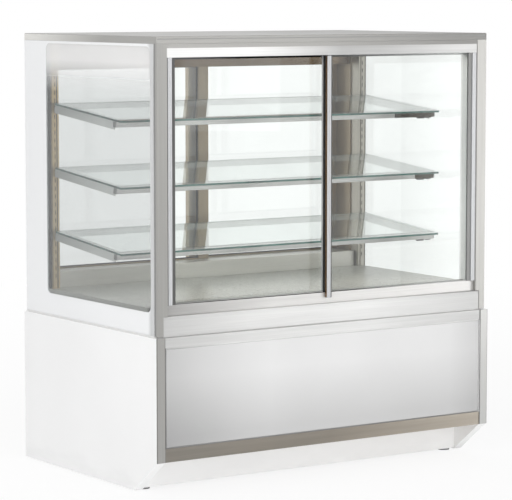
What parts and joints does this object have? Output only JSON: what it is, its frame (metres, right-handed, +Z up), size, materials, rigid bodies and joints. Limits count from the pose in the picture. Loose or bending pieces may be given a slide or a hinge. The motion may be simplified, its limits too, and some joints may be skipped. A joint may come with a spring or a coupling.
{
  "type": "self-service bakery case",
  "caption": "Upright glazed display case on a closed base, with sloped glass shelves, sliding front and rear doors and lit shelf edges.",
  "frame": {"origin": "on the floor, under the middle of the case's footprint", "axes": "+X to the customer's right, +Y from the front doors to the rear doors, +Z up"},
  "size_m": [1.27, 0.813, 1.38],
  "materials": {
    "white_laminate": "satin white laminate on board",
    "grey_laminate": "satin light grey laminate on board",
    "top_laminate": "satin mid grey laminate on board",
    "service_board": "matt white laminate on board",
    "edge_metal": "brushed, running upward",
    "band_metal": "brushed, running lengthways",
    "rail_bronze": "brushed bronze grey",
    "track_metal": "satin anodised",
    "bright_profile": "bright anodised",
    "white_border": "gloss white behind glass",
    "end_glass": "clear toughened",
    "door_glass": "clear toughened",
    "shelf_glass": "clear with green edge",
    "shelf_metal": "satin grey",
    "light_metal": "satin anodised",
    "standard_steel": "satin",
    "deck_metal": "satin grey green",
    "rear_profile": "satin taupe",
    "frame_steel": "black powder coat",
    "foot_steel": "zinc plated",
    "shoe_metal": "satin anodised",
    "roller_nylon": "natural nylon",
    "switch_plastic": "black",
    "gland_plastic": "black",
    "driver_case": "white",
    "screw_steel": "zinc plated"
  },
  "bodies": {
    "case": {"base_frame": "frame_steel", "end_panel_left": "white_laminate", "end_panel_right": "white_laminate", "edge_trim_left": "edge_metal", "edge_trim_right": "edge_metal", "bottom_rail": "rail_bronze", "front_panel_trim": "band_metal", "front_panel": "grey_laminate", "kick_plate": "white_laminate", "rear_panel": "service_board", "panel_screws": "screw_steel", "cable_gland": "gland_plastic", "driver_box": "driver_case", "deck_pan": "deck_metal", "apron": "band_metal", "front_sill_track": "track_metal", "front_header_track": "track_metal", "front_post_left": "edge_metal", "front_post_right": "edge_metal", "jamb_channel_left": "bright_profile", "jamb_channel_right": "bright_profile", "end_glass_left": "end_glass", "end_glass_right": "end_glass", "end_border_left": "white_border", "end_border_right": "white_border", "top_panel": "top_laminate", "canopy_light": "light_metal", "rear_post_left": "rear_profile", "rear_post_right": "rear_profile", "rear_sill": "rear_profile", "rear_header": "rear_profile", "shelf_standard_left": "standard_steel", "shelf_standard_right": "standard_steel"},
    "front_door_left": {"front_door_glass_left": "door_glass", "front_door_shoe_left": "shoe_metal"},
    "front_door_right": {"front_door_glass_right": "door_glass", "front_door_shoe_right": "shoe_metal", "front_door_stile": "bright_profile"},
    "rear_door_left": {"rear_door_frame_left": "rear_profile", "rear_door_glass_left": "door_glass"},
    "rear_door_right": {"rear_door_frame_right": "rear_profile", "rear_door_glass_right": "door_glass"},
    "light_switch": {"light_switch": "switch_plastic"},
    "door_roller_left_1": {"door_roller_left_1": "roller_nylon"},
    "door_roller_left_2": {"door_roller_left_2": "roller_nylon"},
    "door_roller_right_1": {"door_roller_right_1": "roller_nylon"},
    "door_roller_right_2": {"door_roller_right_2": "roller_nylon"},
    "shelf_lower": {"shelf_glass_lower": "shelf_glass", "shelf_frame_lower": "shelf_metal", "shelf_light_lower": "light_metal"},
    "shelf_middle": {"shelf_glass_middle": "shelf_glass", "shelf_frame_middle": "shelf_metal", "shelf_light_middle": "light_metal"},
    "shelf_upper": {"shelf_glass_upper": "shelf_glass", "shelf_frame_upper": "shelf_metal", "shelf_light_upper": "light_metal"},
    "levelling_foot_front_left": {"levelling_foot_front_left": "foot_steel"},
    "levelling_foot_front_right": {"levelling_foot_front_right": "foot_steel"},
    "levelling_foot_rear_left": {"levelling_foot_rear_left": "foot_steel"},
    "levelling_foot_rear_right": {"levelling_foot_rear_right": "foot_steel"}
  },
  "joints": [
    {"name": "front_door_left_slide", "type": "slide", "parent": "case", "child": "front_door_left", "axis": [1, 0, 0], "range_m": [0, 0.55]},
    {"name": "front_door_right_slide", "type": "slide", "parent": "case", "child": "front_door_right", "axis": [-1, 0, 0], "range_m": [0, 0.55]},
    {"name": "rear_door_left_slide", "type": "slide", "parent": "case", "child": "rear_door_left", "axis": [1, 0, 0], "range_m": [0, 0.548]},
    {"name": "rear_door_right_slide", "type": "slide", "parent": "case", "child": "rear_door_right", "axis": [-1, 0, 0], "range_m": [0, 0.548]},
    {"name": "light_switch_rock", "type": "hinge", "parent": "case", "child": "light_switch", "pos_m": [0.48, 0.394, 0.43], "axis": [-1, 0, 0], "range_deg": [0, 24]},
    {"name": "door_roller_left_1_spin", "type": "hinge", "parent": "front_door_left", "child": "door_roller_left_1", "pos_m": [-0.519, -0.349, 0.5623], "axis": [0, 1, 0], "range_deg": [0, 5254.1]},
    {"name": "door_roller_left_2_spin", "type": "hinge", "parent": "front_door_left", "child": "door_roller_left_2", "pos_m": [-0.051, -0.349, 0.5623], "axis": [0, 1, 0], "range_deg": [0, 5254.1]},
    {"name": "door_roller_right_1_spin", "type": "hinge", "parent": "front_door_right", "child": "door_roller_right_1", "pos_m": [0.058, -0.373, 0.5623], "axis": [0, -1, 0], "range_deg": [0, 5254.1]},
    {"name": "door_roller_right_2_spin", "type": "hinge", "parent": "front_door_right", "child": "door_roller_right_2", "pos_m": [0.519, -0.373, 0.5623], "axis": [0, -1, 0], "range_deg": [0, 5254.1]},
    {"name": "shelf_lower_tilt", "type": "hinge", "parent": "case", "child": "shelf_lower", "pos_m": [0, 0.244, 0.7362], "axis": [-1, 0, 0], "range_deg": [0, 5.6]},
    {"name": "shelf_middle_tilt", "type": "hinge", "parent": "case", "child": "shelf_middle", "pos_m": [0, 0.244, 0.9394], "axis": [-1, 0, 0], "range_deg": [0, 5.6]},
    {"name": "shelf_upper_tilt", "type": "hinge", "parent": "case", "child": "shelf_upper", "pos_m": [0, 0.244, 1.1426], "axis": [-1, 0, 0], "range_deg": [0, 5.6]},
    {"name": "levelling_foot_front_left_turn", "type": "hinge", "parent": "case", "child": "levelling_foot_front_left", "pos_m": [-0.585, -0.2425, 0], "axis": [0, 0, 1], "continuous": true},
    {"name": "levelling_foot_front_right_turn", "type": "hinge", "parent": "case", "child": "levelling_foot_front_right", "pos_m": [0.585, -0.2425, 0], "axis": [0, 0, 1], "continuous": true},
    {"name": "levelling_foot_rear_left_turn", "type": "hinge", "parent": "case", "child": "levelling_foot_rear_left", "pos_m": [-0.585, 0.376, 0], "axis": [0, 0, 1], "continuous": true},
    {"name": "levelling_foot_rear_right_turn", "type": "hinge", "parent": "case", "child": "levelling_foot_rear_right", "pos_m": [0.585, 0.376, 0], "axis": [0, 0, 1], "continuous": true}
  ],
  "couplings": [
    {"joint": "door_roller_left_1_spin", "follows": "front_door_left_slide", "rad_per_m": 166.67},
    {"joint": "door_roller_left_2_spin", "follows": "front_door_left_slide", "rad_per_m": 166.67},
    {"joint": "door_roller_right_1_spin", "follows": "front_door_right_slide", "rad_per_m": 166.67},
    {"joint": "door_roller_right_2_spin", "follows": "front_door_right_slide", "rad_per_m": 166.67}
  ]
}
